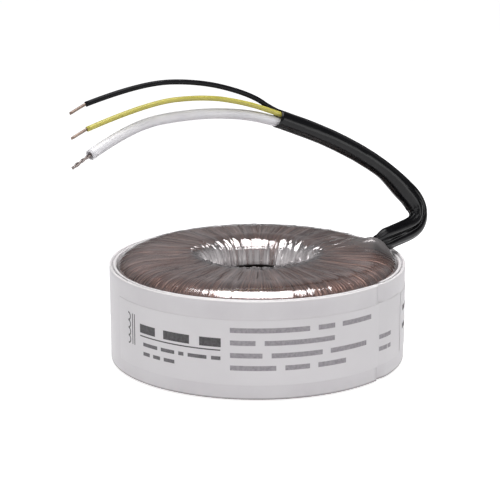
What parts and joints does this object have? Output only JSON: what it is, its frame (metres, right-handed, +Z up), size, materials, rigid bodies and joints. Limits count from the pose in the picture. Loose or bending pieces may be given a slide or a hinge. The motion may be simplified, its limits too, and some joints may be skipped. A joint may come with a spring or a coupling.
{
  "type": "toroidal autotransformer",
  "caption": "Toroidal autotransformer under clear pleated film, with a white rim strip and labels, and three stripped leads in a black sleeve.",
  "frame": {"origin": "centre of the winding's flat underside, on the toroid's axis", "axes": "+Z up along the toroid's axis, -Y towards the rating label, +X towards the side where the leads leave"},
  "size_m": [0.1473, 0.1242, 0.1212],
  "materials": {
    "core_steel": "satin",
    "core_tape": "satin",
    "copper": "gloss",
    "inner_film": "gloss",
    "outer_film": "gloss",
    "white_strip": "satin",
    "label_paper": "satin",
    "black_sleeving": "gloss",
    "yellow_sleeving": "gloss",
    "white_sleeving": "gloss",
    "bare_copper": "satin",
    "tinned_wire": "satin"
  },
  "bodies": {
    "root": {"core": "core_steel", "core_wrap": "core_tape", "common_winding": "copper", "inter_winding_film": "inner_film", "series_winding": "copper", "outer_film": "outer_film", "outer_band": "white_strip", "rating_label": "label_paper", "side_label": "label_paper", "lead_sleeve": "black_sleeving", "black_lead": "black_sleeving", "yellow_lead": "yellow_sleeving", "white_lead": "white_sleeving", "black_wire": "bare_copper", "yellow_wire": "bare_copper", "white_wires": "tinned_wire"}
  },
  "joints": []
}
